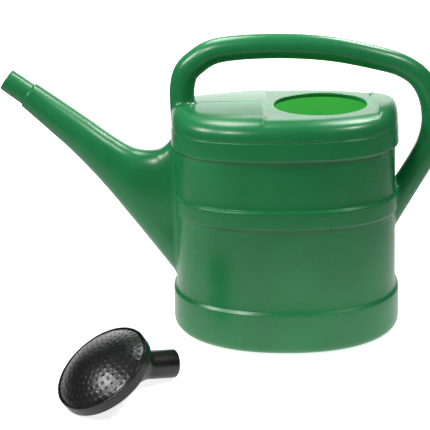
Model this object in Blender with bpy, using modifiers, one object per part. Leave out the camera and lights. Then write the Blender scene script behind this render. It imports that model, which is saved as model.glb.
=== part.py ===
"""A ten litre watering can with its rose taken off and lying beside it.

Blender 4.5, metres, +Z up. The origin is on the floor under the middle of the tank. The spout
points to -X, the back of the handle to +X, and the can's middle plane is y = 0.
The can is one hollow moulding, held here as tank, spout and handle with a fine gap between them.
The rose is a shell with a neck socket, and a domed face plate full of small holes.
"""

from math import atan2, cos, pi, radians, sin, sqrt

import bmesh
import bpy
from mathutils import Matrix, Vector

GAP = 0.0003
WALL = 0.0022

# Tank: plan sections are superellipses that taper evenly with height.
TANK_HALF_LENGTH = 0.1340
TANK_HALF_WIDTH = 0.0988
TANK_TAPER = 0.0338
TANK_POWER = 2.20
TANK_POWER_RISE = 1.6
TANK_COLUMNS = 48
BOTTOM_ROUND = 0.012
WALL_INSET = 0.0039
BELT_INSET = 0.0009
LEDGE = 0.0015
BASE_BAND_TOP = 0.0500
BELT_BOTTOM = 0.1473
BELT_TOP = 0.1690
COLLAR_BOTTOM = 0.2220
COLLAR_TOP = 0.2431
SHOULDER_INSET = 0.0008
SHOULDER_SWEEP = radians(68)
SHOULDER_STEPS = 4

# Top panel: a flat crowned lid, cut down across the filler.
PANEL_HALF_LENGTH = 0.1178
PANEL_HALF_WIDTH = 0.0556
PANEL_POWER = 2.04
PANEL_EDGE_Z = 0.2649
PANEL_CROWN = 0.0023
RECESS_Z = 0.2630
RECESS_FRONT = -0.0189
RECESS_REAR = 0.0986
RECESS_FRONT_RUN = 0.0048
RECESS_REAR_RUN = 0.0032
CAVITY_TOP_HALF_LENGTH = 0.1175
CAVITY_TOP_HALF_WIDTH = 0.0575

FILLER_X = 0.0405
FILLER_RADIUS = 0.0511
LIP_DEPTH = 0.0070
LIP_WALL = 0.0020

# Spout: a straight tip that the rose pushes on to, then a trunk that widens into a tall root.
TIP_END = Vector((-0.3093, 0.0, 0.2977))
TIP_SLOPE = radians(37.5)
TIP_LENGTH = 0.0285
TIP_END_RADIUS = 0.0128
TIP_RADIUS = 0.0132
TRUNK_RADIUS = 0.0152
# Each trunk station: top edge (x, z), bottom edge (x, z) and half-width.
TRUNK_STATIONS = (
    ((-0.2443, 0.2681), (-0.2640, 0.2370), 0.0175),
    ((-0.2192, 0.2491), (-0.2370, 0.2094), 0.0192),
    ((-0.1944, 0.2299), (-0.2064, 0.1723), 0.0211),
    ((-0.1700, 0.2149), (-0.1748, 0.1284), 0.0231),
    ((-0.1450, 0.2130), (-0.1450, 0.0860), 0.0250),
    ((-0.1290, 0.2225), (-0.1290, 0.0625), 0.0265),
    ((-0.1080, 0.2360), (-0.1080, 0.0325), 0.0275),
)
SPOUT_COLUMNS = 28
SPOUT_WALL = 0.0020

# Handle: stations on its centre line (x, z) and its radius there, from front root to rear root.
HANDLE_STATIONS = (
    (-0.1085, 0.2360, 0.0140),
    (-0.1115, 0.2620, 0.0140),
    (-0.1120, 0.2840, 0.0140),
    (-0.1070, 0.3010, 0.0140),
    (-0.0950, 0.3128, 0.0140),
    (-0.0773, 0.3228, 0.0138),
    (-0.0520, 0.3267, 0.0136),
    (-0.0160, 0.3278, 0.0135),
    (0.0227, 0.3263, 0.0134),
    (0.0600, 0.3217, 0.0132),
    (0.1000, 0.3125, 0.0127),
    (0.1280, 0.3035, 0.0121),
    (0.1480, 0.2895, 0.0122),
    (0.1605, 0.2680, 0.0128),
    (0.1650, 0.2420, 0.0133),
    (0.1618, 0.2180, 0.0138),
    (0.1540, 0.1985, 0.0143),
    (0.1360, 0.1655, 0.0146),
    (0.1120, 0.1215, 0.0148),
)
HANDLE_WALL = 0.0020

# Rose: its frame has +X out along the neck, and the face looks back and up at ROSE_BEND.
ROSE_X = -0.1892
ROSE_Y = -0.1815
ROSE_TURN = radians(32.5)
ROSE_BEND = radians(46)
ROSE_WALL = 0.0018
RIM_RADIUS = 0.0528
RIM_DEPTH = 0.0105
RIM_ROUND = 0.0056
RIM_ROUND_DEPTH = 0.0028
NECK_RADIUS = 0.0152
NECK_START = 0.0500
NECK_END = 0.0838
# Each shell station: upper edge (x, z), lower edge (x, z) and half-width.
SHELL_STATIONS = (
    ((0.0466, 0.0216), (-0.0080, -0.0375), 0.0400),
    ((0.0479, 0.0187), (0.0150, -0.0292), 0.0285),
    ((0.0490, 0.0167), (0.0330, -0.0214), 0.0196),
)
ROSE_COLUMNS = 40
FACE_RADIUS = 0.0507
FACE_WALL = 0.0016
FACE_RISE = 0.0150
FACE_SKIRT = 0.0045
HOLE_RADIUS = 0.0007
HOLE_PITCH = 0.00685
HOLE_FIRST = 0.0048
HOLE_RINGS = 7
HOLE_SIDES = 6


def clear_scene():
    for obj in list(bpy.data.objects):
        bpy.data.objects.remove(obj)


def make_material(name, colour, roughness):
    """An opaque moulded plastic."""
    material = bpy.data.materials.new(name)
    material.use_nodes = True
    shader = material.node_tree.nodes["Principled BSDF"]
    shader.inputs["Base Color"].default_value = (*colour, 1.0)
    shader.inputs["Roughness"].default_value = roughness
    shader.inputs["Metallic"].default_value = 0.0
    return material


def add_object(name, mesh, material=None):
    """Put a mesh in the scene as a visible node."""
    obj = bpy.data.objects.new(name, mesh)
    bpy.context.scene.collection.objects.link(obj)
    if material:
        mesh.materials.clear()
        mesh.materials.append(material)
    return obj


def add_cutter(name, mesh):
    """Put a mesh in the cutters collection, out of the render."""
    cutters = bpy.data.collections.get("cutters")
    if not cutters:
        cutters = bpy.data.collections.new("cutters")
        bpy.context.scene.collection.children.link(cutters)
    obj = bpy.data.objects.new(name, mesh)
    cutters.objects.link(obj)
    obj.hide_render = True
    obj.display_type = "WIRE"
    return obj


def add_boolean(obj, operation, other):
    modifier = obj.modifiers.new(operation.lower() + "_" + other.name, "BOOLEAN")
    modifier.operation = operation
    modifier.solver = "EXACT"
    modifier.object = other
    return modifier


def mesh_from(name, bm):
    """Finish a bmesh with its faces looking outwards."""
    bmesh.ops.recalc_face_normals(bm, faces=bm.faces)
    mesh = bpy.data.meshes.new(name)
    bm.to_mesh(mesh)
    bm.free()
    return mesh


def loft(name, rings, capped=True):
    """Skin a list of rings, each a closed loop of the same number of points."""
    bm = bmesh.new()
    loops = [[bm.verts.new(point) for point in ring] for ring in rings]
    count = len(rings[0])
    for lower, upper in zip(loops, loops[1:]):
        for i in range(count):
            j = (i + 1) % count
            bm.faces.new((lower[i], lower[j], upper[j], upper[i]))
    if capped:
        bm.faces.new(loops[0])
        bm.faces.new(loops[-1])
    return mesh_from(name, bm)


def superellipse(half_x, half_y, power, count):
    """Points (x, y) of |x/a|^power + |y/b|^power = 1, anticlockwise from +X."""
    points = []
    for i in range(count):
        angle = 2 * pi * i / count
        c = cos(angle)
        s = sin(angle)
        x = half_x * abs(c) ** (2 / power) * (1 if c >= 0 else -1)
        y = half_y * abs(s) ** (2 / power) * (1 if s >= 0 else -1)
        points.append((x, y))
    return points


def tank_section(z, inset):
    """Half-length, half-width and power of the tank's plan at height z, drawn in by inset."""
    drawn = TANK_TAPER * z + inset
    return TANK_HALF_LENGTH - drawn, TANK_HALF_WIDTH - drawn, TANK_POWER + TANK_POWER_RISE * z


def tank_profile():
    """The side's profile as (z, inset), from the floor to the start of the shoulder."""
    profile = []
    for i in range(4):
        angle = pi / 2 * i / 3
        profile.append((BOTTOM_ROUND * (1 - sin(angle)), BOTTOM_ROUND * (1 - cos(angle))))
    profile.reverse()
    profile += [
        (BASE_BAND_TOP, 0.0),
        (BASE_BAND_TOP + 2 * LEDGE, WALL_INSET),
        (BELT_BOTTOM, WALL_INSET),
        (BELT_BOTTOM + LEDGE, BELT_INSET),
        (BELT_TOP - LEDGE, BELT_INSET),
        (BELT_TOP, WALL_INSET),
        (COLLAR_BOTTOM, WALL_INSET),
        (COLLAR_BOTTOM + LEDGE, 0.0),
        (COLLAR_TOP, 0.0),
        (COLLAR_TOP + LEDGE, SHOULDER_INSET),
    ]
    return profile


def panel_crown(y):
    """How far the lid's middle stands above its edge."""
    return PANEL_CROWN * (1 - min(1.0, (y / PANEL_HALF_WIDTH) ** 2))


def tank_rings(drawn_in, top):
    """Rings of the tank from floor to lid edge. top is (half-length, half-width, z, crowned)."""
    half_length, half_width, top_z, crowned = top
    rings = []
    for z, inset in tank_profile():
        a, b, power = tank_section(z, inset + drawn_in)
        z = max(z, drawn_in)
        rings.append([(x, y, z) for x, y in superellipse(a, b, power, TANK_COLUMNS)])
    start_z, start_inset = tank_profile()[-1]
    a, b, power = tank_section(start_z, start_inset + drawn_in)
    for i in range(1, SHOULDER_STEPS + 1):
        angle = SHOULDER_SWEEP * i / SHOULDER_STEPS
        out = (cos(angle) - cos(SHOULDER_SWEEP)) / (1 - cos(SHOULDER_SWEEP))
        up = sin(angle) / sin(SHOULDER_SWEEP)
        ring = []
        for x, y in superellipse(
            half_length + (a - half_length) * out,
            half_width + (b - half_width) * out,
            PANEL_POWER + (power - PANEL_POWER) * out,
            TANK_COLUMNS,
        ):
            rise = panel_crown(y) * up if crowned else 0.0
            ring.append((x, y, start_z + (top_z - start_z) * up + rise))
        rings.append(ring)
    return rings


def tank_solid(name, drawn_in):
    """The tank's whole envelope, lid included, drawn in by a distance or, if negative, let out."""
    top = (PANEL_HALF_LENGTH - drawn_in, PANEL_HALF_WIDTH - drawn_in, PANEL_EDGE_Z - drawn_in, True)
    rings = tank_rings(drawn_in, top)
    edge = rings[-1]
    for scale in (0.72, 0.44, 0.16):
        ring = []
        for x, y, _ in edge:
            ring.append((x * scale, y * scale, top[2] + panel_crown(y * scale)))
        rings.append(ring)
    return loft(name, rings)


def cavity_solid():
    top = (CAVITY_TOP_HALF_LENGTH, CAVITY_TOP_HALF_WIDTH, RECESS_Z - WALL, False)
    return loft("cavity", tank_rings(WALL, top))


def prism(name, outline, half_width):
    """An outline in the (x, z) plane, pushed out to both sides along Y."""
    return loft(name, [[(x, side * half_width, z) for x, z in outline] for side in (-1, 1)])


def recess_solid():
    """What is cut off the lid round the filler, with sloping steps front and rear."""
    height = 0.0042
    reach = 4
    outline = (
        (RECESS_FRONT, RECESS_Z),
        (RECESS_REAR, RECESS_Z),
        (RECESS_REAR + reach * RECESS_REAR_RUN, RECESS_Z + reach * height),
        (RECESS_FRONT - reach * RECESS_FRONT_RUN, RECESS_Z + reach * height),
    )
    return prism("recess", outline, TANK_HALF_WIDTH)


def cylinder(name, radius, low, high, centre_x):
    """An upright cylinder from z = low to z = high."""
    bm = bmesh.new()
    place = Matrix.Translation((centre_x, 0, (low + high) / 2))
    bmesh.ops.create_cone(
        bm,
        cap_ends=True,
        segments=TANK_COLUMNS,
        radius1=radius,
        radius2=radius,
        depth=high - low,
        matrix=place,
    )
    return mesh_from(name, bm)


def span_ring(upper, lower, half_width, count, power=2.0, drawn_in=0.0):
    """A closed section whose ends in the (x, z) plane are two points, and whose sides are +-Y."""
    top = Vector((upper[0], 0, upper[1]))
    bottom = Vector((lower[0], 0, lower[1]))
    centre = (top + bottom) / 2
    along = (top - bottom).normalized()
    half_height = (top - bottom).length / 2 - drawn_in
    ring = []
    for u, v in superellipse(half_height, half_width - drawn_in, power, count):
        ring.append(centre + along * u + Vector((0, v, 0)))
    return ring


def smooth(stations, steps):
    """Values between stations along a Catmull-Rom curve. A station is a flat tuple of numbers."""
    found = []
    for i in range(len(stations) - 1):
        before = stations[max(i - 1, 0)]
        here = stations[i]
        there = stations[i + 1]
        after = stations[min(i + 2, len(stations) - 1)]
        for step in range(steps):
            t = step / steps
            found.append([
                0.5 * (2 * q + (r - p) * t + (2 * p - 5 * q + 4 * r - s) * t ** 2
                       + (3 * q - p - 3 * r + s) * t ** 3)
                for p, q, r, s in zip(before, here, there, after)
            ])
    found.append(list(stations[-1]))
    return found


def tip_edges(distance, radius):
    """Top and bottom edges of the round tip at a distance from its end, as one flat station."""
    along = Vector((cos(TIP_SLOPE), 0, -sin(TIP_SLOPE)))
    across = Vector((sin(TIP_SLOPE), 0, cos(TIP_SLOPE)))
    centre = TIP_END + along * distance
    top = centre + across * radius
    bottom = centre - across * radius
    return (top.x, top.z, bottom.x, bottom.z, radius)


def spout_rings(drawn_in=0.0, first=0):
    """Rings of the spout from its tip to inside the tank."""
    edges = [
        tip_edges(0.0, TIP_END_RADIUS),
        tip_edges(TIP_LENGTH / 2, (TIP_END_RADIUS + TIP_RADIUS) / 2),
        tip_edges(TIP_LENGTH, TIP_RADIUS),
    ]
    shoulder = tip_edges(TIP_LENGTH + 0.0020, TRUNK_RADIUS)
    trunk = [(*top, *bottom, half_width) for top, bottom, half_width in TRUNK_STATIONS]
    edges += smooth([shoulder, *trunk], 3)
    rings = []
    for x1, z1, x2, z2, half_width in edges[first:]:
        tall = sqrt((x1 - x2) ** 2 + (z1 - z2) ** 2) / 2 - half_width
        power = 2.0 + 0.4 * min(1.0, tall / 0.04)
        rings.append(span_ring((x1, z1), (x2, z2), half_width, SPOUT_COLUMNS, power, drawn_in))
    return rings


def handle_tube(name, drawn_in):
    """A closed tube along the handle's centre line, made from a curve with a round bevel."""
    curve = bpy.data.curves.new(name, "CURVE")
    curve.dimensions = "3D"
    curve.resolution_u = 3
    curve.bevel_mode = "ROUND"
    curve.bevel_depth = 1.0
    curve.bevel_resolution = 6
    curve.use_fill_caps = True
    spline = curve.splines.new("BEZIER")
    spline.bezier_points.add(len(HANDLE_STATIONS) - 1)
    for point, (x, z, radius) in zip(spline.bezier_points, HANDLE_STATIONS):
        point.co = (x, 0, z)
        point.radius = radius - drawn_in
        point.handle_left_type = "AUTO"
        point.handle_right_type = "AUTO"
    holder = bpy.data.objects.new(name, curve)
    bpy.context.scene.collection.objects.link(holder)
    bpy.context.view_layer.update()
    graph = bpy.context.evaluated_depsgraph_get()
    mesh = bpy.data.meshes.new_from_object(holder.evaluated_get(graph))
    bpy.data.objects.remove(holder)
    bpy.data.curves.remove(curve)
    bm = bmesh.new()
    bm.from_mesh(mesh)
    bmesh.ops.remove_doubles(bm, verts=bm.verts, dist=0.00001)
    bpy.data.meshes.remove(mesh)
    return mesh_from(name, bm)


def make_tank(material, spout_bore, handle_bore):
    tank = add_object("tank", tank_solid("tank", 0.0), material)
    low = RECESS_Z - LIP_DEPTH
    lip = add_cutter("lip", cylinder("lip", FILLER_RADIUS + LIP_WALL, low, RECESS_Z - 0.001, FILLER_X))
    filler = add_cutter("filler", cylinder("filler", FILLER_RADIUS, low - 0.01, RECESS_Z + 0.02, FILLER_X))
    add_boolean(tank, "DIFFERENCE", add_cutter("cavity", cavity_solid()))
    add_boolean(tank, "DIFFERENCE", add_cutter("recess", recess_solid()))
    add_boolean(tank, "UNION", lip)
    add_boolean(tank, "DIFFERENCE", filler)
    add_boolean(tank, "DIFFERENCE", spout_bore)
    add_boolean(tank, "DIFFERENCE", handle_bore)
    return tank


def make_spout(material, envelope):
    spout = add_object("spout", loft("spout", spout_rings(), capped=False), material)
    shell = spout.modifiers.new("wall", "SOLIDIFY")
    shell.thickness = SPOUT_WALL
    shell.offset = -1.0
    shell.use_even_offset = True
    add_boolean(spout, "DIFFERENCE", envelope)
    return spout


def make_handle(material, envelope, bore):
    handle = add_object("handle", handle_tube("handle", 0.0), material)
    add_boolean(handle, "DIFFERENCE", bore)
    add_boolean(handle, "DIFFERENCE", envelope)
    return handle


def rim_edges(depth, radius):
    """Upper and lower edges of the rim at a depth behind its front, as one flat station."""
    back = Vector((cos(ROSE_BEND), 0, -sin(ROSE_BEND)))
    across = Vector((sin(ROSE_BEND), 0, cos(ROSE_BEND)))
    top = back * depth + across * radius
    bottom = back * depth - across * radius
    return (top.x, top.z, bottom.x, bottom.z, radius)


def rose_frame():
    """The empty that carries the rose, lying on its rim's back edge and its neck's end."""
    _, _, rim_x, rim_z, _ = rim_edges(RIM_DEPTH, RIM_RADIUS)
    dip = atan2(-NECK_RADIUS - rim_z, NECK_END - rim_x)
    frame = bpy.data.objects.new("rose_frame", None)
    bpy.context.scene.collection.objects.link(frame)
    frame.location = (ROSE_X, ROSE_Y, NECK_END * sin(dip) + NECK_RADIUS * cos(dip))
    frame.rotation_euler = (0, dip, ROSE_TURN)
    return frame


def shell_rings():
    """Rings of the rose's shell from the rim's front edge to the neck's open end."""
    stations = [rim_edges(RIM_DEPTH + RIM_ROUND_DEPTH, RIM_RADIUS - RIM_ROUND)]
    stations += [(*top, *bottom, half_width) for top, bottom, half_width in SHELL_STATIONS]
    stations.append((NECK_START, NECK_RADIUS, NECK_START, -NECK_RADIUS, NECK_RADIUS))
    edges = [rim_edges(-0.0005, RIM_RADIUS), rim_edges(RIM_DEPTH, RIM_RADIUS)]
    edges += smooth(stations, 2)
    edges.append((NECK_END, NECK_RADIUS, NECK_END, -NECK_RADIUS, NECK_RADIUS))
    return [
        span_ring((x1, z1), (x2, z2), half_width, ROSE_COLUMNS)
        for x1, z1, x2, z2, half_width in edges
    ]


def make_rose_shell(material, frame):
    shell = add_object("rose_shell", loft("rose_shell", shell_rings(), capped=False), material)
    shell.parent = frame
    wall = shell.modifiers.new("wall", "SOLIDIFY")
    wall.thickness = ROSE_WALL
    wall.offset = -1.0
    wall.use_even_offset = True
    return shell


def face_height(radius):
    """Height of the face's dome above its edge, at a distance from its middle."""
    ball = (FACE_RADIUS ** 2 + FACE_RISE ** 2) / (2 * FACE_RISE)
    return sqrt(ball ** 2 - radius ** 2) - (ball - FACE_RISE)


def face_profile():
    """Half the plate's section as (radius, height), from the middle out and back under."""
    steps = 7
    outside = [FACE_RADIUS * i / steps for i in range(steps + 1)]
    profile = [(r, face_height(r)) for r in outside]
    profile.append((FACE_RADIUS, -FACE_SKIRT))
    profile.append((FACE_RADIUS - FACE_WALL, -FACE_SKIRT))
    inside = [(FACE_RADIUS - FACE_WALL) * (steps - i) / steps for i in range(steps + 1)]
    profile += [(r, face_height(r) - 1.08 * FACE_WALL) for r in inside]
    return profile


def hole_cutters():
    """One mesh of small prisms through the dome, each along the dome's own normal."""
    bm = bmesh.new()
    ball = (FACE_RADIUS ** 2 + FACE_RISE ** 2) / (2 * FACE_RISE)
    for ring in range(HOLE_RINGS):
        radius = HOLE_FIRST + ring * HOLE_PITCH
        count = round(2 * pi * radius / HOLE_PITCH)
        lean = Matrix.Rotation(radius / ball, 4, "Y")
        lift = Matrix.Translation((radius, 0, face_height(radius)))
        for i in range(count):
            turn = Matrix.Rotation(2 * pi * (i + 0.5 * (ring % 2)) / count, 4, "Z")
            bmesh.ops.create_cone(
                bm,
                cap_ends=True,
                segments=HOLE_SIDES,
                radius1=HOLE_RADIUS,
                radius2=HOLE_RADIUS,
                depth=6 * FACE_WALL,
                matrix=turn @ lift @ lean,
            )
    return mesh_from("holes", bm)


def make_rose_face(material, frame):
    """A domed plate spun round its axis, with its holes cut."""
    bm = bmesh.new()
    points = [bm.verts.new((radius, 0, height)) for radius, height in face_profile()]
    for one, other in zip(points, points[1:]):
        bm.edges.new((one, other))
    mesh = bpy.data.meshes.new("rose_face")
    bm.to_mesh(mesh)
    bm.free()
    face = add_object("rose_face", mesh, material)
    spin = face.modifiers.new("spin", "SCREW")
    spin.axis = "Z"
    spin.steps = ROSE_COLUMNS
    spin.render_steps = ROSE_COLUMNS
    spin.use_merge_vertices = True
    spin.merge_threshold = 0.00001
    spin.use_normal_calculate = True
    holes = add_cutter("holes", hole_cutters())
    for obj in (face, holes):
        obj.parent = frame
        obj.rotation_euler = (0, ROSE_BEND - pi / 2, 0)
    add_boolean(face, "DIFFERENCE", holes)
    return face


def main():
    clear_scene()
    green = make_material("green_polyethylene", (0.016, 0.165, 0.048), 0.38)
    black = make_material("black_polypropylene", (0.010, 0.010, 0.011), 0.42)
    envelope = add_cutter("envelope", tank_solid("envelope", -GAP))
    handle_bore = add_cutter("handle_bore", handle_tube("handle_bore", HANDLE_WALL))
    spout_bore = add_cutter("spout_bore", loft("spout_bore", spout_rings(SPOUT_WALL, first=12)))
    make_tank(green, spout_bore, handle_bore)
    make_spout(green, envelope)
    make_handle(green, envelope, handle_bore)
    frame = rose_frame()
    make_rose_shell(black, frame)
    make_rose_face(black, frame)


main()
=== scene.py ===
"""Looks for a green moulded watering can with its black rose lying beside it.

Metres, +Z up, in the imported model's frame: the spout points to -X and the can's middle plane is
y = 0. The can's skins are dense lofts over the CAD solids, with the roots of the spout and handle
filleted on to the tank. The rose is rebuilt with its holes and their small raised collars.
"""

from math import atan2, cos, pi, radians, sin

import bpy
import numpy as np
from mathutils import Matrix, Vector, geometry
from mathutils.bvhtree import BVHTree


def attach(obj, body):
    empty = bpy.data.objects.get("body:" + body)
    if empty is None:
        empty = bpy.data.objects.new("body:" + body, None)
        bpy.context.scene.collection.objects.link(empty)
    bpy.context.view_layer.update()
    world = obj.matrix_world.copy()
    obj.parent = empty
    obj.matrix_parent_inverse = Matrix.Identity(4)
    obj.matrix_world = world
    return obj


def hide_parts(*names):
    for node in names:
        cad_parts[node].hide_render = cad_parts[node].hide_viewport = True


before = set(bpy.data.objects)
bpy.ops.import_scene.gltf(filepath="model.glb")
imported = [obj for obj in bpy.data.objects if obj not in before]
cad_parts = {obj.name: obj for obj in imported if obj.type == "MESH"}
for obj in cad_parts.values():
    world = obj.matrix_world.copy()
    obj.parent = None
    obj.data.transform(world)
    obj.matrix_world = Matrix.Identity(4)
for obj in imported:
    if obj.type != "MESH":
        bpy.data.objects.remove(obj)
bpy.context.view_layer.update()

# Camera.
CAMERA_AT = Vector((-0.00344, -0.98039, 0.50260))
CAMERA_FORWARD = Vector((-0.07372, 0.93299, -0.35228))
CAMERA_UP = Vector((0.01047, 0.35395, 0.93521))
CAMERA_LENS = 75.35

# Stage, and lights: place, size and watts.
FLOOR_MIDDLE = (0.0, 0.10)
FLOOR_SIZE = (0.85, 0.72)
FLOOR_GLOW = 0.80
FLOOR_WHITE = 0.90
BOUNCE_GLOW = 0.20
BOUNCE_NEAR_GLOW = 0.85
BOUNCE_WHITE = 0.45
BOUNCE_FADE = (0.12, 0.55)
SWEEP_STRENGTH = 2.1
SWEEP_BEHIND = (0.72, 0.96)
SWEEP_LOW_DOWN = (0.56, 0.32)
DIM_STRENGTH = 0.08
LIGHT_TARGET = Vector((0.0, 0.0, 0.12))
LIGHTS = (
    ("left_box", (-0.90, -0.38, 1.00), (0.28, 0.28), 6.6),
    ("front_left_box", (-0.53, -0.76, 1.12), (0.20, 0.20), 5.0),
    ("right_box", (0.75, -0.40, 1.33), (0.20, 0.20), 6.4),
    ("top_left_box", (-0.12, 0.09, 0.56), (0.14, 0.12), 0.62),
    ("top_right_box", (0.226, 0.298, 0.713), (0.20, 0.16), 2.0),
)

# Tank.
HALF_LENGTH = 0.1340
HALF_WIDTH = 0.0988
TAPER = 0.0338
POWER = 2.20
POWER_RISE = 1.6
BOTTOM_ROUND = 0.012
WALL = 0.0022
WALL_INSET = 0.0039
BELT_INSET = 0.0009
BASE_BAND_TOP = 0.0500
BELT_BOTTOM = 0.1473
BELT_TOP = 0.1690
COLLAR_BOTTOM = 0.2220
COLLAR_TOP = 0.2431
SHOULDER_INSET = 0.0008
SHOULDER_START = 0.2446
SHOULDER_POWER = 2.5
LID_HALF_LENGTH = 0.1178
LID_HALF_WIDTH = 0.0556
LID_POWER = 2.04
LID_EDGE_Z = 0.2649
LID_CROWN = 0.0023
RECESS_Z = 0.2630
RECESS_DROP = 0.0011
RECESS_FRONT = -0.0189
RECESS_REAR = 0.0986
RECESS_FRONT_RUN = 0.0048
RECESS_REAR_RUN = 0.0032
FILLER_X = 0.0405
FILLER_RADIUS = 0.0511
LIP_ROUND = 0.0014
LIP_DEPTH = 0.0048
PART_LINE = 0.00025
PART_LINE_FIRST_ROW = 24
HALF_COLUMNS = 214
SHOULDER_ROWS = 28
LID_ROWS = 42
RECESS_SLOPE_RISE = 0.0042
RECESS_FOOT_ROUND = 0.0007
RECESS_EDGE_ROUND = 0.0009
STEP_CLEAR = 0.003
BELT_FADE = (0.026, 0.044)
BELT_FADE_REACH = 0.17

# Spout.
TIP_END = Vector((-0.3093, 0.0, 0.2977))
TIP_SLOPE = radians(37.5)
TIP_LENGTH = 0.0285
TIP_END_RADIUS = 0.0128
TIP_RADIUS = 0.0132
TRUNK_RADIUS = 0.0152
TRUNK_STATIONS = (
    (-0.2443, 0.2681, -0.2640, 0.2370, 0.0175),
    (-0.2192, 0.2491, -0.2370, 0.2094, 0.0192),
    (-0.1944, 0.2299, -0.2064, 0.1723, 0.0211),
    (-0.1700, 0.2149, -0.1748, 0.1284, 0.0231),
    (-0.1450, 0.2130, -0.1450, 0.0860, 0.0250),
    (-0.1290, 0.2225, -0.1290, 0.0625, 0.0265),
    (-0.1080, 0.2360, -0.1080, 0.0325, 0.0275),
)
SPOUT_COLUMNS = 128

# Handle: stations on its centre line (x, z) and its radius there.
HANDLE_STATIONS = (
    (-0.1060, 0.1950, 0.0140),
    (-0.1105, 0.2150, 0.0145),
    (-0.1120, 0.2360, 0.0144),
    (-0.1127, 0.2620, 0.0140),
    (-0.1120, 0.2840, 0.0140),
    (-0.1070, 0.3010, 0.0140),
    (-0.0950, 0.3128, 0.0140),
    (-0.0773, 0.3228, 0.0138),
    (-0.0520, 0.3267, 0.0136),
    (-0.0160, 0.3278, 0.0135),
    (0.0227, 0.3263, 0.0134),
    (0.0600, 0.3217, 0.0132),
    (0.1000, 0.3125, 0.0127),
    (0.1280, 0.3035, 0.0121),
    (0.1480, 0.2895, 0.0122),
    (0.1605, 0.2680, 0.0128),
    (0.1650, 0.2420, 0.0133),
    (0.1618, 0.2180, 0.0138),
    (0.1540, 0.1985, 0.0143),
    (0.1360, 0.1655, 0.0146),
    (0.1120, 0.1215, 0.0148),
)
HANDLE_COLUMNS = 72

# Rose: its frame has +X out along the neck, and the face looks back and up at ROSE_BEND.
ROSE_X = -0.1892
ROSE_Y = -0.1815
ROSE_TURN = radians(32.5)
ROSE_BEND = radians(46)
RIM_RADIUS = 0.0528
RIM_DEPTH = 0.0105
RIM_ROUND = 0.0056
RIM_ROUND_DEPTH = 0.0028
NECK_RADIUS = 0.0152
NECK_WALL = 0.0018
NECK_START = 0.0500
NECK_END = 0.0838
SHELL_STATIONS = (
    (0.0466, 0.0216, -0.0080, -0.0375, 0.0400),
    (0.0479, 0.0187, 0.0150, -0.0292, 0.0285),
    (0.0490, 0.0167, 0.0330, -0.0214, 0.0196),
)
ROSE_COLUMNS = 120
FACE_RADIUS = 0.0509
FACE_RISE = 0.0150
FACE_WALL = 0.0016
FACE_GRID = 0.0021
HOLE_RADIUS = 0.00062
COLLAR_RADIUS = 0.00130
COLLAR_HEIGHT = 0.00014
HOLE_PITCH = 0.0061
HOLE_FIRST = 0.0040
HOLE_RINGS = 8


# ---------------------------------------------------------------- meshes


def smoothstep(low, high, value):
    t = np.clip((np.asarray(value, float) - low) / (high - low), 0, 1)
    return t * t * (3 - 2 * t)


def mesh_object(name, points, faces, materials, indices=None):
    """A smooth-shaded object from points and faces, with its materials in slots."""
    mesh = bpy.data.meshes.new(name)
    mesh.from_pydata([tuple(p) for p in points], [], [tuple(f) for f in faces])
    for material in materials:
        mesh.materials.append(material)
    if indices is not None:
        mesh.polygons.foreach_set("material_index", np.asarray(indices, np.int32))
    mesh.polygons.foreach_set("use_smooth", np.ones(len(mesh.polygons), bool))
    mesh.update()
    obj = bpy.data.objects.new(name, mesh)
    bpy.context.scene.collection.objects.link(obj)
    return obj


def skin_faces(rows, columns, first=0):
    """Quads between rows of closed rings."""
    i = np.arange(rows - 1)[:, None] * columns + first
    j = np.arange(columns)[None, :]
    k = (j + 1) % columns
    quads = np.stack([i + j, i + k, i + columns + k, i + columns + j], axis=-1)
    return quads.reshape(-1, 4)


def catmull(stations, steps):
    """Values along a Catmull-Rom curve through the stations, with equal steps in each span."""
    rows = np.asarray(stations, float)
    ends = np.vstack([2 * rows[0] - rows[1], rows, 2 * rows[-1] - rows[-2]])
    found = []
    for i in range(len(rows) - 1):
        p, q, r, s = ends[i : i + 4]
        for t in np.arange(steps) / steps:
            found.append(
                0.5 * (2 * q + (r - p) * t + (2 * p - 5 * q + 4 * r - s) * t**2
                       + (3 * q - p - 3 * r + s) * t**3)
            )
    found.append(rows[-1])
    return np.array(found)


def rounded(corners):
    """A polyline of (x, y, radius) corners with each corner turned into an arc."""
    points = [np.array(corners[0][:2])]
    for before, here, after in zip(corners, corners[1:], corners[2:]):
        a = np.array(before[:2])
        b = np.array(here[:2])
        c = np.array(after[:2])
        u = (a - b) / np.linalg.norm(a - b)
        v = (c - b) / np.linalg.norm(c - b)
        half = np.arccos(np.clip(np.dot(u, v), -1, 1)) / 2
        reach = here[2] / np.tan(half)
        reach = min(reach, 0.49 * np.linalg.norm(a - b), 0.49 * np.linalg.norm(c - b))
        steps = 3 if here[2] < 0.002 else 9
        for i in range(steps + 1):
            t = i / steps
            start = b + u * reach
            end = b + v * reach
            # A conic through the corner's two tangent points, close to a circular arc.
            weight = np.sin(half)
            top = (1 - t) ** 2 * start + 2 * t * (1 - t) * weight * b + t**2 * end
            points.append(top / ((1 - t) ** 2 + 2 * t * (1 - t) * weight + t**2))
    points.append(np.array(corners[-1][:2]))
    return points


def subdivided(points, longest):
    """The polyline with no step longer than a given length."""
    found = [points[0]]
    for a, b in zip(points, points[1:]):
        count = max(1, int(np.ceil(np.linalg.norm(b - a) / longest)))
        found += [a + (b - a) * (i + 1) / count for i in range(count)]
    return found


# ---------------------------------------------------------------- tank


def lid_crown(y):
    return LID_CROWN * (1 - np.minimum(1.0, (y / LID_HALF_WIDTH) ** 2))


def soft_min(a, b, softness):
    """The lesser of two heights, with the crease between them rounded."""
    gap = np.maximum(softness - np.abs(a - b), 0.0) / softness
    return np.minimum(a, b) - gap * gap * softness / 4


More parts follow.
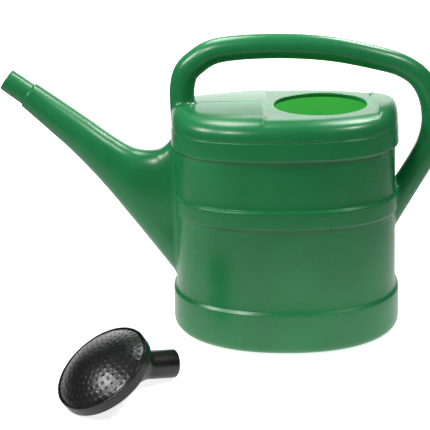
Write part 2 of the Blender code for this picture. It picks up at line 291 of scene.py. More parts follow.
def recess_lift(x):
    """How far the cut round the filler has climbed at x: 0 inside, rising past each end."""
    front = (RECESS_FRONT - x) / RECESS_FRONT_RUN * RECESS_SLOPE_RISE
    rear = (x - RECESS_REAR) / RECESS_REAR_RUN * RECESS_SLOPE_RISE
    climb = np.maximum(front, rear)
    rounding = RECESS_FOOT_ROUND
    return np.where(
        climb > rounding, climb, np.maximum(climb + rounding, 0.0) ** 2 / (4 * rounding)
    )


def recess_window(x):
    """1 between the two steps of the recess, 0 beyond them."""
    front = smoothstep(RECESS_FRONT - RECESS_FRONT_RUN, RECESS_FRONT, x)
    rear = 1 - smoothstep(RECESS_REAR, RECESS_REAR + RECESS_REAR_RUN, x)
    return front * rear


def cut_height(x, z):
    """Height of the skin after the recess is cut from it."""
    return soft_min(z, RECESS_Z + recess_lift(x), RECESS_EDGE_ROUND)


def section_reach(angles, a, b, power):
    """Distance from the filler's axis to a superellipse, along each angle."""
    c = np.cos(angles)
    s = np.sin(angles)
    low = np.zeros_like(angles)
    high = np.full_like(angles, 0.4)
    for _ in range(44):
        mid = (low + high) / 2
        x = np.abs(FILLER_X + mid * c) / a
        y = np.abs(mid * s) / b
        inside = x**power + y**power < 1
        low = np.where(inside, mid, low)
        high = np.where(inside, high, mid)
    return (low + high) / 2


def spread(low, high, count, weight):
    """Values from low to high, packed in proportion to a weight function."""
    fine = np.linspace(low, high, 4000)
    total = np.concatenate([[0], np.cumsum(weight((fine[1:] + fine[:-1]) / 2))])
    return np.interp(np.linspace(0, total[-1], count), total, fine)


def tank_angles():
    """Column angles about the filler's axis, closer where the recess's steps cross the shoulder."""

    def weight(angle):
        front = np.exp(-(((angle - radians(134)) / radians(11)) ** 2))
        rear = np.exp(-(((angle - radians(33)) / radians(11)) ** 2))
        return 1 + 1.6 * front + 1.6 * rear

    seam = radians(0.16)
    half = spread(seam, pi - seam, HALF_COLUMNS, weight)
    return np.concatenate([[0.0], half, [pi], 2 * pi - half[::-1]])


def wall_profile():
    """The side's profile as (z, inset), from the floor to the start of the shoulder."""
    corners = (
        (0.0, 0.030, 0.0),
        (0.0, 0.0, BOTTOM_ROUND),
        (BASE_BAND_TOP - 0.0004, 0.0, 0.0011),
        (BASE_BAND_TOP + 0.0028, WALL_INSET - 0.0008, 0.0018),
        (BASE_BAND_TOP + 0.0150, WALL_INSET, 0.0300),
        (BELT_BOTTOM, WALL_INSET, 0.0012),
        (BELT_BOTTOM + 0.0016, BELT_INSET, 0.0024),
        (BELT_TOP - 0.0012, BELT_INSET, 0.0024),
        (BELT_TOP + 0.0002, WALL_INSET, 0.0012),
        (COLLAR_BOTTOM, WALL_INSET, 0.0012),
        (COLLAR_BOTTOM + 0.0018, 0.0, 0.0026),
        (COLLAR_TOP + 0.0001, 0.0, 0.0034),
        (COLLAR_TOP + 0.0009, SHOULDER_INSET + 0.0006, 0.0012),
        (SHOULDER_START, SHOULDER_INSET, 0.0),
    )
    return subdivided(rounded(corners), 0.0075)


def wall_ring(angles, z, inset):
    """One ring of the wall. The belt fades out where the spout's root crosses it."""
    inset = np.full_like(angles, inset)
    if BELT_BOTTOM - STEP_CLEAR < z < BELT_TOP + STEP_CLEAR:
        side = np.abs(np.sin(angles)) * BELT_FADE_REACH
        fade = np.where(np.cos(angles) < 0, smoothstep(*BELT_FADE, side), 1.0)
        inset = WALL_INSET + (inset - WALL_INSET) * fade
    drawn = TAPER * z
    radius = section_reach(angles, HALF_LENGTH - drawn, HALF_WIDTH - drawn, POWER + POWER_RISE * z)
    ring = np.stack(
        [FILLER_X + radius * np.cos(angles), radius * np.sin(angles), np.full_like(angles, z)],
        axis=-1,
    )
    # Step inwards along the section's own normal.
    ahead = np.roll(ring, -1, axis=0) - np.roll(ring, 1, axis=0)
    normal = np.stack([ahead[:, 1], -ahead[:, 0], np.zeros(len(ahead))], axis=-1)
    normal /= np.linalg.norm(normal, axis=1)[:, None]
    return ring - normal * inset[:, None]


def shoulder_profile(count):
    """Shares out and up along the shoulder: a quarter of a superellipse, in even steps."""
    angle = np.linspace(0, pi / 2, 200)
    line = np.stack([np.cos(angle), np.sin(angle)], axis=-1) ** (2 / SHOULDER_POWER)
    # Front to back the shoulder is deeper than it is high.
    length = np.cumsum(np.hypot(*(np.diff(line, axis=0, prepend=line[:1]) * (1.6, 1.0)).T))
    along = np.linspace(0, length[-1], count)
    return np.stack([np.interp(along, length, line[:, k]) for k in (0, 1)], axis=-1)


def shoulder_ring(angles, out, up, inset=0.0):
    """One ring of the shoulder, between its foot (out 1, up 0) and the lid's edge (out 0, up 1)."""
    drawn = TAPER * SHOULDER_START + SHOULDER_INSET
    power = POWER + POWER_RISE * SHOULDER_START
    a = LID_HALF_LENGTH + (HALF_LENGTH - drawn - LID_HALF_LENGTH) * out - inset
    b = LID_HALF_WIDTH + (HALF_WIDTH - drawn - LID_HALF_WIDTH) * out - inset
    radius = section_reach(angles, a, b, LID_POWER + (power - LID_POWER) * out)
    x = FILLER_X + radius * np.cos(angles)
    y = radius * np.sin(angles)
    z = SHOULDER_START + (LID_EDGE_Z - SHOULDER_START) * up + lid_crown(y) * up - inset
    # The recess goes on a little way down the shoulder, fading out.
    z = z - RECESS_DROP * recess_window(x) * smoothstep(0.60, 0.93, up)
    z = cut_height(x, z)
    return np.stack([x, y, z], axis=-1)


def lid_rings(angles, edge, count):
    """Rings from the lid's edge to the filler, closer together across the recess's steps."""
    outer = np.hypot(edge[:, 0] - FILLER_X, edge[:, 1])
    inner = FILLER_RADIUS + LIP_ROUND
    rings = np.zeros((count, len(angles), 3))
    share = np.linspace(0, 1, 600)
    for column, angle in enumerate(angles):
        radius = outer[column] + (inner - outer[column]) * share
        x = FILLER_X + radius * cos(angle)
        front = np.exp(-(((x - RECESS_FRONT + RECESS_FRONT_RUN / 2) / 0.0042) ** 4))
        rear = np.exp(-(((x - RECESS_REAR - RECESS_REAR_RUN / 2) / 0.0036) ** 4))
        weight = (1 + 7 * front + 7 * rear)[1:]
        total = np.concatenate([[0], np.cumsum(weight)])
        radius = np.interp(np.linspace(0, total[-1], count + 1)[1:], total, radius)
        rings[:, column, 0] = FILLER_X + radius * cos(angle)
        rings[:, column, 1] = radius * sin(angle)
    x = rings[..., 0]
    y = rings[..., 1]
    level = LID_EDGE_Z + lid_crown(y) - RECESS_DROP * recess_window(x)
    rings[..., 2] = cut_height(x, level)
    return rings


def circle_ring(angles, radius, height):
    z = np.full_like(angles, height)
    return np.stack([FILLER_X + radius * np.cos(angles), radius * np.sin(angles), z], axis=-1)


def tank_points():
    """All the tank's rings from the middle of its underside, over the lid, to its floor inside."""
    angles = tank_angles()
    outside = []
    foot = wall_ring(angles, 0.0, 0.030)
    for share in (0.06, 0.35, 0.70):
        ring = foot * share
        ring[:, 2] = 0.0016 * (1 - share)
        outside.append(ring)
    outside += [wall_ring(angles, z, inset) for z, inset in wall_profile()]
    shoulder = shoulder_profile(SHOULDER_ROWS)[1:]
    outside += [shoulder_ring(angles, out, up) for out, up in shoulder]
    outside += list(lid_rings(angles, outside[-1], LID_ROWS))
    # The parting line: a fine groove in the middle plane, from the base band's top up over the lid.
    seam = [0, len(angles) // 2]
    for ring in outside[PART_LINE_FIRST_ROW:]:
        ring[seam, 2] -= PART_LINE
    lip = []
    for i in range(1, 6):
        angle = pi / 2 * i / 5
        lip.append((FILLER_RADIUS + LIP_ROUND * (1 - sin(angle)), -LIP_ROUND * (1 - cos(angle))))
    lip += [
        (FILLER_RADIUS, -0.6 * LIP_DEPTH),
        (FILLER_RADIUS + 0.0002, -LIP_DEPTH + 0.0006),
        (FILLER_RADIUS + 0.0010, -LIP_DEPTH),
        (FILLER_RADIUS + 0.0018, -LIP_DEPTH + 0.0006),
        (FILLER_RADIUS + 0.0021, -WALL - 0.0006),
        (FILLER_RADIUS + 0.0026, -WALL),
    ]
    outside += [circle_ring(angles, radius, RECESS_Z + drop) for radius, drop in lip]
    inside = [shoulder_ring(angles, out, up, WALL) for out, up in shoulder[::-3]]
    inner_corners = (
        (COLLAR_TOP, 0.0),
        (COLLAR_BOTTOM + 0.0025, 0.0),
        (COLLAR_BOTTOM - 0.0005, WALL_INSET),
        (BELT_TOP + 0.0010, WALL_INSET),
        (BELT_TOP - 0.0020, BELT_INSET),
        (BELT_BOTTOM + 0.0020, BELT_INSET),
        (BELT_BOTTOM - 0.0010, WALL_INSET),
        (0.1000, WALL_INSET),
        (BASE_BAND_TOP + 0.0035, WALL_INSET),
        (BASE_BAND_TOP - 0.0005, 0.0),
        (0.0140, 0.0),
        (0.0060, 0.0040),
        (0.0024, 0.0110),
    )
    inside += [wall_ring(angles, z, inset + WALL) for z, inset in inner_corners]
    for share in (0.70, 0.35, 0.06):
        ring = foot * share
        ring[:, 2] = WALL + 0.0016 * (1 - share)
        inside.append(ring)
    return np.array(outside), np.array(inside)


def make_tank(outer_material, inner_material):
    outside, inside = tank_points()
    rows = np.concatenate([outside, inside])
    count = rows.shape[1]
    points = rows.reshape(-1, 3)
    quads = skin_faces(len(rows), count)
    faces = [tuple(q) for q in quads]
    # Faces inside the tank take slot 1, the inside plastic with painted glow.
    first_inside = (len(outside) - 4) * count
    indices = [0 if i < first_inside else 1 for i in range(len(faces))]
    last = len(points)
    centres = [(0.0, 0.0, 0.0016), (0.0, 0.0, WALL + 0.0016)]
    points = np.vstack([points, centres])
    end = (len(rows) - 1) * count
    for i in range(count):
        j = (i + 1) % count
        faces.append((last, j, i))
        faces.append((last + 1, end + i, end + j))
        indices += [0, 1]
    tank = mesh_object("can_tank", points, faces, [outer_material, inner_material], indices)
    skin = outside.reshape(-1, 3)
    quads = skin_faces(len(outside), count)
    tree = BVHTree.FromPolygons([Vector(p) for p in skin], [tuple(q) for q in quads])
    return tank, tree


# ---------------------------------------------------------------- tubes on the tank


def signed(tree, point):
    """Distance outside the tank's skin, the nearest point on it and its normal there."""
    place, normal, _, _ = tree.find_nearest(point)
    return (point - place).dot(normal), place, normal


def rooted(rings, tree, fillet, sink=0.00025, steps=9):
    """Cut a tube's columns where they meet the tank, and turn each outwards along the skin.

    rings runs from the tube's far end to inside the tank. fillet gives each column's radius.
    """
    rows, columns = rings.shape[:2]
    centres = rings.mean(axis=1)
    lengths = np.zeros((rows, columns))
    lengths[1:] = np.cumsum(np.linalg.norm(np.diff(rings, axis=0), axis=2), axis=0)
    hits = []
    ends = []
    outs = []
    for j in range(columns):
        hit = rows - 1.0
        before = 1.0
        for i in range(rows // 3, rows):
            distance = signed(tree, Vector(rings[i, j]))[0]
            if distance <= 0:
                hit = i - 1 + before / (before - distance)
                break
            before = distance
        low = int(min(hit, rows - 2))
        part = hit - low
        point = Vector(rings[low, j] * (1 - part) + rings[low + 1, j] * part)
        middle = Vector(centres[low] * (1 - part) + centres[low + 1] * part)
        _, place, normal = signed(tree, point)
        out = point - middle
        side = out - normal * out.dot(normal)
        side.normalize()
        length = lengths[low, j] * (1 - part) + lengths[low + 1, j] * part
        hits.append(place)
        ends.append(length - fillet[j])
        outs.append(side)
    ends = np.array(ends)
    common = lengths.mean(axis=1)
    hold = ends.min() - 0.05
    kept = common[common < ends.mean() - 0.001]
    columns_out = []
    for j in range(columns):
        along = np.where(
            kept < hold, kept, hold + (kept - hold) * (ends[j] - hold) / (kept[-1] - hold)
        )
        column = np.stack(
            [np.interp(along, lengths[:, j], rings[:, j, k]) for k in range(3)], axis=-1
        )
        start = Vector(column[-1])
        corner = hits[j]
        _, place, normal = signed(tree, corner + outs[j] * fillet[j])
        finish = place - normal * sink
        bend = []
        for step in range(1, steps + 1):
            t = step / steps
            bend.append((1 - t) ** 2 * start + 2 * t * (1 - t) * corner + t**2 * finish)
        columns_out.append(np.vstack([column, np.array(bend)]))
    return np.stack(columns_out, axis=1)


def span_rings(edges, columns, power=None):
    """Rings from rows of top (x, z), bottom (x, z) and half-width."""
    angle = 2 * pi * np.arange(columns) / columns
    rings = []
    for x1, z1, x2, z2, half_width in edges:
        top = np.array([x1, 0, z1])
        bottom = np.array([x2, 0, z2])
        half = (top - bottom) / 2
        tall = np.linalg.norm(half) - half_width
        p = 2.0 + 0.4 * min(1.0, max(0.0, tall) / 0.04) if power is None else power
        u = np.sign(np.cos(angle)) * np.abs(np.cos(angle)) ** (2 / p)
        v = np.sign(np.sin(angle)) * np.abs(np.sin(angle)) ** (2 / p)
        ring = (top + bottom) / 2 + u[:, None] * half
        ring[:, 1] += v * half_width
        rings.append(ring)
    return np.array(rings)


def tip_edges(distance, radius):
    """Top and bottom edges of the round tip at a distance from its end."""
    along = Vector((cos(TIP_SLOPE), 0, -sin(TIP_SLOPE)))
    across = Vector((sin(TIP_SLOPE), 0, cos(TIP_SLOPE)))
    centre = TIP_END + along * distance
    top = centre + across * radius
    bottom = centre - across * radius
    return (top.x, top.z, bottom.x, bottom.z, radius)


def make_spout(material, inner, tree):
    edges = []
    # The bore, from deep inside out to the mouth, then over the rim.
    for distance, radius in (
        (0.0700, 0.0140), (0.0330, 0.0128), (0.0290, 0.0114), (0.0100, 0.0108),
        (0.0008, 0.0107), (0.0002, 0.0110), (0.0, 0.0115), (0.0, 0.0120),
        (0.0002, 0.0125), (0.0008, 0.0128), (0.0020, 0.01285),
    ):
        edges.append(tip_edges(distance, radius))
    bore = 5
    for distance in np.linspace(0.005, TIP_LENGTH - 0.0012, 10):
        share = distance / TIP_LENGTH
        edges.append(tip_edges(distance, TIP_END_RADIUS + (TIP_RADIUS - TIP_END_RADIUS) * share))
    step = rounded((
        (TIP_LENGTH - 0.0012, TIP_RADIUS, 0),
        (TIP_LENGTH, TIP_RADIUS, 0.0006),
        (TIP_LENGTH + 0.0014, TRUNK_RADIUS + 0.0001, 0.0009),
        (TIP_LENGTH + 0.0080, TRUNK_RADIUS + 0.0004, 0),
    ))
    edges += [tip_edges(distance, radius) for distance, radius in step[1:-1]]
    start = tip_edges(TIP_LENGTH + 0.0030, TRUNK_RADIUS + 0.0002)
    edges += list(catmull([start, *TRUNK_STATIONS], 16))
    rings = span_rings(edges, SPOUT_COLUMNS)
    turn = 2 * pi * np.arange(SPOUT_COLUMNS) / SPOUT_COLUMNS
    fillet = 0.0070 + 0.0045 * np.maximum(0, np.cos(turn)) + 0.0010 * np.maximum(0, -np.cos(turn))
    whole = rooted(rings[bore:], tree, fillet)
    whole = np.concatenate([rings[:bore], whole])
    faces = skin_faces(len(whole), SPOUT_COLUMNS)[:, ::-1]
    # The bore's faces take slot 1, the inside plastic with painted glow.
    indices = [1 if i < (bore - 1) * SPOUT_COLUMNS else 0 for i in range(len(faces))]
    return mesh_object("can_spout", whole.reshape(-1, 3), faces, [material, inner], indices)


def tube_rings(stations, columns, steps):
    """Round rings along a centre line in the plane y = 0."""
    line = catmull(stations, steps)
    ahead = np.gradient(line[:, :2], axis=0)
    ahead /= np.linalg.norm(ahead, axis=1)[:, None]
    angle = 2 * pi * np.arange(columns) / columns
    rings = np.zeros((len(line), columns, 3))
    for i, ((x, z, radius), (dx, dz)) in enumerate(zip(line, ahead)):
        rings[i, :, 0] = x - dz * radius * np.cos(angle)
        rings[i, :, 1] = radius * np.sin(angle)
        rings[i, :, 2] = z + dx * radius * np.cos(angle)
    return rings


def make_handle(material, tree):
    rings = tube_rings(HANDLE_STATIONS, HANDLE_COLUMNS, 12)
    middle = len(rings) // 2
    fillet = np.full(HANDLE_COLUMNS, 0.0072)
    front = rooted(rings[middle::-1], tree, fillet)
    rear = rooted(rings[middle:], tree, fillet * 0.9)
    whole = np.concatenate([front[::-1], rear[1:]])
    faces = skin_faces(len(whole), HANDLE_COLUMNS)[:, ::-1]
    return mesh_object("can_handle", whole.reshape(-1, 3), faces, [material])


# ---------------------------------------------------------------- rose


def rim_edges(depth, radius):
    """Upper and lower edges of the rim at a depth behind its front."""
    back = Vector((cos(ROSE_BEND), 0, -sin(ROSE_BEND)))
    across = Vector((sin(ROSE_BEND), 0, cos(ROSE_BEND)))
    top = back * depth + across * radius
    bottom = back * depth - across * radius
    return (top.x, top.z, bottom.x, bottom.z, radius)


def rose_matrix():
    """Where the rose lies, on its rim's back edge and its neck's end."""
    _, _, rim_x, rim_z, _ = rim_edges(RIM_DEPTH, RIM_RADIUS)
    dip = atan2(-NECK_RADIUS - rim_z, NECK_END - rim_x)
    height = NECK_END * sin(dip) + NECK_RADIUS * cos(dip)
    turn = Matrix.Rotation(ROSE_TURN, 4, "Z") @ Matrix.Rotation(dip, 4, "Y")
    return Matrix.Translation((ROSE_X, ROSE_Y, height)) @ turn


def neck_edges(distance, radius):
    return (distance, radius, distance, -radius, radius)


def make_rose_shell(material):
    edges = [rim_edges(0.0030, 0.05095)]
    lip = rounded((
        (0.0015, 0.05100, 0),
        (-0.0010, 0.05105, 0.0005),
        (-0.0010, RIM_RADIUS, 0.0009),
        (RIM_DEPTH, RIM_RADIUS, 0.0012),
        (RIM_DEPTH + RIM_ROUND_DEPTH, RIM_RADIUS - RIM_ROUND, 0),
    ))
    edges += [rim_edges(depth, radius) for depth, radius in subdivided(lip[:-1], 0.0025)]
    stations = [rim_edges(RIM_DEPTH + RIM_ROUND_DEPTH, RIM_RADIUS - RIM_ROUND)]
    stations += list(SHELL_STATIONS)
    stations.append(neck_edges(NECK_START, NECK_RADIUS))
    edges += list(catmull(stations, 9))
    end = rounded((
        (NECK_START + 0.004, NECK_RADIUS, 0),
        (NECK_END, NECK_RADIUS, 0.0007),
        (NECK_END, NECK_RADIUS - NECK_WALL, 0.0007),
        (NECK_START, NECK_RADIUS - NECK_WALL - 0.0003, 0),
    ))
    edges += [neck_edges(distance, radius) for distance, radius in subdivided(end, 0.004)]
    rings = span_rings(edges, ROSE_COLUMNS, 2.0)
    faces = skin_faces(len(rings), ROSE_COLUMNS)[:, ::-1]
    points = [rose_matrix() @ Vector(p) for p in rings.reshape(-1, 3)]
    return mesh_object("rose_shell_skin", points, faces, [material])


def hole_centres():
    """Plan positions of the holes, in rings about the face's middle."""
    centres = []
    for ring in range(HOLE_RINGS):
        radius = HOLE_FIRST + ring * HOLE_PITCH
        count = round(2 * pi * radius / HOLE_PITCH)
        for i in range(count):
            angle = 2 * pi * (i + 0.5 * (ring % 2)) / count
            centres.append((radius * cos(angle), radius * sin(angle)))
    return np.array(centres)


def dome_height(radius):
    ball = (FACE_RADIUS**2 + FACE_RISE**2) / (2 * FACE_RISE)
    return np.sqrt(ball**2 - np.asarray(radius) ** 2) - (ball - FACE_RISE)


def face_plan():
    """Plan points of the face: rings round each hole, a grid between them, and the edge."""
    centres = hole_centres()
    points = []
    for radius, count in ((HOLE_RADIUS, 10), (0.00085, 10), (0.00115, 12), (COLLAR_RADIUS, 12)):
        angle = 2 * pi * np.arange(count) / count + radius * 900
        ring = radius * np.stack([np.cos(angle), np.sin(angle)], axis=-1)
        points.append((centres[:, None, :] + ring[None]).reshape(-1, 2))
    pitch = FACE_GRID
    rows = int(FACE_RADIUS / (pitch * 0.866)) + 1
    grid = []
    for row in range(-rows, rows + 1):
        for column in range(-rows - 6, rows + 7):
            grid.append(((column + 0.5 * (row % 2)) * pitch, row * pitch * 0.866))
    grid = np.array(grid)
    clear = np.linalg.norm(grid[:, None] - centres[None], axis=2).min(axis=1) > COLLAR_RADIUS + 0.0006
    inside = np.hypot(grid[:, 0], grid[:, 1]) < FACE_RADIUS - 0.0012
    points.append(grid[clear & inside])
    angle = 2 * pi * np.arange(ROSE_COLUMNS) / ROSE_COLUMNS
    edge = np.stack([np.cos(angle), np.sin(angle)], axis=-1)
    points.append(edge * (FACE_RADIUS - 0.0007))
    points.append(edge * FACE_RADIUS)
    return np.concatenate(points), centres


def make_rose_face(material):
    plan, centres = face_plan()
    count = len(plan)
    loop = list(range(count - ROSE_COLUMNS, count))
    found = geometry.delaunay_2d_cdt([Vector(p) for p in plan], [], [loop], 1, 1e-7)
    plan = np.array([tuple(v) for v in found[0]])
    faces = [f for f in found[2] if len(f) >= 3]
    middle = np.array([plan[list(f)].mean(axis=0) for f in faces])
    gap = np.linalg.norm(middle[:, None] - centres[None], axis=2).min(axis=1)
    faces = [f for f, g in zip(faces, gap) if g > HOLE_RADIUS * 0.93]
    near = np.linalg.norm(plan[:, None] - centres[None], axis=2).min(axis=1)
    collar = COLLAR_HEIGHT * (1 - smoothstep(0.00085, COLLAR_RADIUS, near))
    collar -= 0.00012 * (near < HOLE_RADIUS * 1.1)
    radius = np.hypot(plan[:, 0], plan[:, 1])
    height = dome_height(np.minimum(radius, FACE_RADIUS)) + collar
    height -= 0.0006 * smoothstep(FACE_RADIUS - 0.0006, FACE_RADIUS, radius)
    place = rose_matrix() @ Matrix.Rotation(ROSE_BEND - pi / 2, 4, "Y")
    points = [place @ Vector((x, y, z)) for (x, y), z in zip(plan, height)]
    face = mesh_object("rose_face_skin", points, faces, [material])
    wall = face.modifiers.new("wall", "SOLIDIFY")
    wall.thickness = FACE_WALL
    wall.offset = -1.0
    return face


# ---------------------------------------------------------------- materials


class Nodes:
    """Short ways to add and join shader nodes."""

    def __init__(self, name):
        self.material = bpy.data.materials.new(name)
        self.material.use_nodes = True
        self.tree = self.material.node_tree
        self.shader = self.tree.nodes["Principled BSDF"]
        self.place = self.add("ShaderNodeTexCoord").outputs["Object"]

    def add(self, kind, **values):
        node = self.tree.nodes.new(kind)
        for key, value in values.items():
            if hasattr(node, key):
                setattr(node, key, value)
            else:
                node.inputs[key.replace("_", " ")].default_value = value
        return node

    def join(self, source, target):
        self.tree.links.new(source, target)

    def noise(self, scale, detail=2.0, roughness=0.5, stretch=None):
        node = self.add("ShaderNodeTexNoise", Scale=scale, Detail=detail, Roughness=roughness)
        source = self.place
        if stretch:
            mapping = self.add("ShaderNodeMapping")
            mapping.inputs["Scale"].default_value = stretch
            self.join(self.place, mapping.inputs["Vector"])
            source = mapping.outputs["Vector"]
        self.join(source, node.inputs["Vector"])
        return node.outputs["Fac"]

    def ramp(self, source, stops):
        node = self.add("ShaderNodeValToRGB")
        ramp = node.color_ramp
        while len(ramp.elements) < len(stops):
            ramp.elements.new(0.5)
        for element, (place, colour) in zip(ramp.elements, stops):
            element.position = place
            element.color = (*colour, 1.0)
        self.join(source, node.inputs["Fac"])
        return node.outputs["Color"]

    def range(self, source, low, high, to_low, to_high):
        node = self.add("ShaderNodeMapRange")
        for key, value in zip(
            ("From Min", "From Max", "To Min", "To Max"), (low, high, to_low, to_high)
        ):
            node.inputs[key].default_value = value
        self.join(source, node.inputs["Value"])
        return node.outputs["Result"]

    def bump(self, height, distance, strength=1.0, onto=None):
        node = self.add("ShaderNodeBump")
        node.inputs["Distance"].default_value = distance
        node.inputs["Strength"].default_value = strength
        self.join(height, node.inputs["Height"])
        if onto:
            self.join(onto, node.inputs["Normal"])
        return node.outputs["Normal"]


def green_plastic():
    """Satin blow-moulded polyethylene: soft blotches, faint streaks and fine orange peel."""
    n = Nodes("green_polyethylene")
    blotch = n.noise(9.0, 3.0, 0.55)
    colour = n.ramp(blotch, [
        (0.30, (0.0105, 0.180, 0.0530)),
        (0.52, (0.0135, 0.213, 0.0655)),
        (0.75, (0.0180, 0.252, 0.0800)),
    ])
    n.join(colour, n.shader.inputs["Base Color"])
    grain = n.noise(260.0, 2.0, 0.6)
    rough = n.range(blotch, 0.3, 0.7, 0.25, 0.31)
    n.join(rough, n.shader.inputs["Roughness"])
    ripple = n.bump(n.noise(30.0, 1.0, 0.4), 0.00012, 0.4)
    streaks = n.bump(n.noise(60.0, 1.0, 0.5, (0.12, 0.3, 1.0)), 0.00004, 0.3, ripple)
    peel = n.bump(grain, 0.000004, 0.5, streaks)
    n.join(peel, n.shader.inputs["Normal"])
    n.shader.inputs["Subsurface Weight"].default_value = 0.12
    n.shader.inputs["Subsurface Radius"].default_value = (0.25, 1.0, 0.45)
    n.shader.inputs["Subsurface Scale"].default_value = 0.003
    n.shader.inputs["Specular IOR Level"].default_value = 0.5
    return n.material


def inner_plastic_painted_glow():
    """The same plastic seen from inside, with painted glow: a lighter green base colour and an
    emission stand in for the light that comes through the wall.
    """
    n = Nodes("green_polyethylene_inside_painted_glow")
    blotch = n.noise(14.0, 2.0, 0.5)
    # Painted light: this green is lighter than the outside's to stand in for light coming through the
    # wall.
    colour = n.ramp(blotch, [
        (0.3, (0.070, 0.430, 0.085)),
        (0.7, (0.100, 0.520, 0.115)),
    ])
    n.join(colour, n.shader.inputs["Base Color"])
    # Painted glow: the inside emits its own green instead of being lit through the wall.
    n.join(colour, n.shader.inputs["Emission Color"])
    n.shader.inputs["Emission Strength"].default_value = 0.42
    rough = n.range(n.noise(200.0), 0.3, 0.7, 0.42, 0.52)
    n.join(rough, n.shader.inputs["Roughness"])
    n.join(n.bump(n.noise(60.0), 0.0003, 0.4), n.shader.inputs["Normal"])
    return n.material


def black_plastic(name, low, high, grain_height):
    """Satin black polypropylene with a fine moulded grain."""
    n = Nodes(name)
    cloud = n.noise(35.0, 3.0, 0.6)
    colour = n.ramp(cloud, [(0.3, (0.0045, 0.0047, 0.0050)), (0.7, (0.0085, 0.0085, 0.0090))])
    n.join(colour, n.shader.inputs["Base Color"])
    grain = n.noise(900.0, 2.0, 0.6)
    n.join(n.range(cloud, 0.3, 0.7, low, high), n.shader.inputs["Roughness"])
    fine = n.bump(grain, grain_height, 1.0)
    n.join(fine, n.shader.inputs["Normal"])
    n.shader.inputs["Specular IOR Level"].default_value = 0.65
    return n.material


def paper(name, white, glow, near_glow):
    """Plain white paper that glows a little, and may glow more near the middle."""
    n = Nodes(name)
    colour = n.ramp(n.noise(3.0), [(0.3, [white * 0.98] * 3), (0.7, [white] * 3)])
    n.join(colour, n.shader.inputs["Base Color"])
    n.shader.inputs["Roughness"].default_value = 0.9
    n.shader.inputs["Specular IOR Level"].default_value = 0.1
    n.shader.inputs["Emission Color"].default_value = (1.0, 1.0, 1.0, 1.0)
    n.shader.inputs["Emission Strength"].default_value = glow
    if near_glow != glow:
        length = n.add("ShaderNodeVectorMath", operation="LENGTH")
        n.join(n.place, length.inputs[0])
        fade = n.range(length.outputs["Value"], *BOUNCE_FADE, near_glow, glow)
        n.join(fade, n.shader.inputs["Emission Strength"])
    return n.material


# ---------------------------------------------------------------- stage, light and camera


def make_floor():
    """A white table top for the camera, and a dimmer twin for what the object mirrors."""
    count = 96
    angle = 2 * pi * np.arange(count) / count
    x = FLOOR_MIDDLE[0] + FLOOR_SIZE[0] * np.cos(angle)
    y = FLOOR_MIDDLE[1] + FLOOR_SIZE[1] * np.sin(angle)
    for name, white, glow, near_glow, drop in (
        ("floor", FLOOR_WHITE, FLOOR_GLOW, FLOOR_GLOW, 0.0),
        ("floor_bounce", BOUNCE_WHITE, BOUNCE_GLOW, BOUNCE_NEAR_GLOW, 0.0003),
    ):
        points = np.stack([x, y, np.full(count, -drop)], axis=-1)
        floor = mesh_object(name, points, [tuple(range(count))], [paper(name, white, glow, near_glow)])
        shown = name == "floor"
        floor.visible_camera = shown
        floor.visible_diffuse = not shown
        floor.visible_glossy = not shown
        floor.visible_transmission = not shown
        floor.visible_shadow = not shown


def make_lights():
    """Softboxes round a dim studio with a pale sweep behind."""
    for name, place, size, power in LIGHTS:
        data = bpy.data.lights.new(name, "AREA")
        data.shape = "RECTANGLE"
        data.size, data.size_y = size
        data.energy = power
        light = bpy.data.objects.new(name, data)
        bpy.context.scene.collection.objects.link(light)
        light.visible_camera = False
        light.location = place
        look = LIGHT_TARGET - light.location
        light.rotation_euler = look.to_track_quat("-Z", "Y").to_euler()
    make_world()


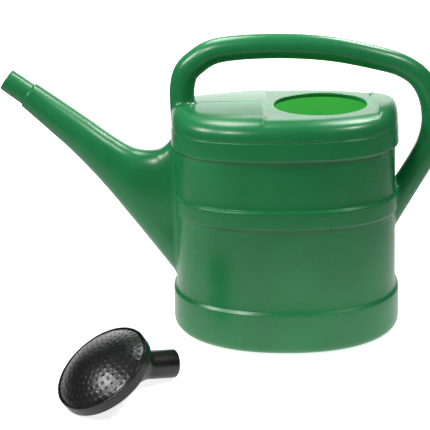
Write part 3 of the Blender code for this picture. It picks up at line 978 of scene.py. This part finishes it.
def make_world():
    """Dim all round, pale low down behind, and white where the camera looks past the floor."""
    world = bpy.data.worlds.new("studio")
    bpy.context.scene.world = world
    world.use_nodes = True
    tree = world.node_tree

    def window(source, low, high):
        made = tree.nodes.new("ShaderNodeMapRange")
        made.interpolation_type = "SMOOTHSTEP"
        made.inputs["From Min"].default_value = low
        made.inputs["From Max"].default_value = high
        tree.links.new(source, made.inputs["Value"])
        return made.outputs["Result"]

    def math(operation, *values):
        made = tree.nodes.new("ShaderNodeMath")
        made.operation = operation
        for slot, value in zip(made.inputs, values):
            if isinstance(value, float):
                slot.default_value = value
            else:
                tree.links.new(value, slot)
        return made.outputs["Value"]

    axes = tree.nodes.new("ShaderNodeSeparateXYZ")
    tree.links.new(tree.nodes.new("ShaderNodeTexCoord").outputs["Generated"], axes.inputs["Vector"])
    behind = window(axes.outputs["Y"], *SWEEP_BEHIND)
    low_down = window(axes.outputs["Z"], *SWEEP_LOW_DOWN)
    sweep = math("MULTIPLY_ADD", math("MULTIPLY", behind, low_down), SWEEP_STRENGTH, DIM_STRENGTH)
    seen = tree.nodes.new("ShaderNodeLightPath").outputs["Is Camera Ray"]
    tree.nodes["Background"].inputs["Color"].default_value = (1.0, 1.0, 1.0, 1.0)
    strength = tree.nodes["Background"].inputs["Strength"]
    tree.links.new(math("MAXIMUM", sweep, seen), strength)


def make_camera():
    data = bpy.data.cameras.new("camera")
    data.sensor_width = 36.0
    data.lens = CAMERA_LENS
    camera = bpy.data.objects.new("camera", data)
    bpy.context.scene.collection.objects.link(camera)
    back = -CAMERA_FORWARD.normalized()
    right = CAMERA_UP.cross(back).normalized()
    up = back.cross(right)
    turn = Matrix((right, up, back)).transposed().to_4x4()
    camera.matrix_world = Matrix.Translation(CAMERA_AT) @ turn
    bpy.context.scene.camera = camera


# ---------------------------------------------------------------- the scene


def main():
    make_camera()
    make_lights()
    make_floor()
    green = green_plastic()
    inner = inner_plastic_painted_glow()
    black = black_plastic("black_polypropylene", 0.26, 0.34, 0.00002)
    tank, tree = make_tank(green, inner)
    spout = make_spout(green, inner, tree)
    handle = make_handle(green, tree)
    shell = make_rose_shell(black)
    face = make_rose_face(black)
    for piece, node in ((tank, "tank"), (spout, "spout"), (handle, "handle")):
        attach(piece, "can")
        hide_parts(node)
    for piece, node in ((shell, "rose_shell"), (face, "rose_face")):
        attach(piece, "rose")
        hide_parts(node)
    bpy.context.scene.view_settings.view_transform = "Standard"


main()
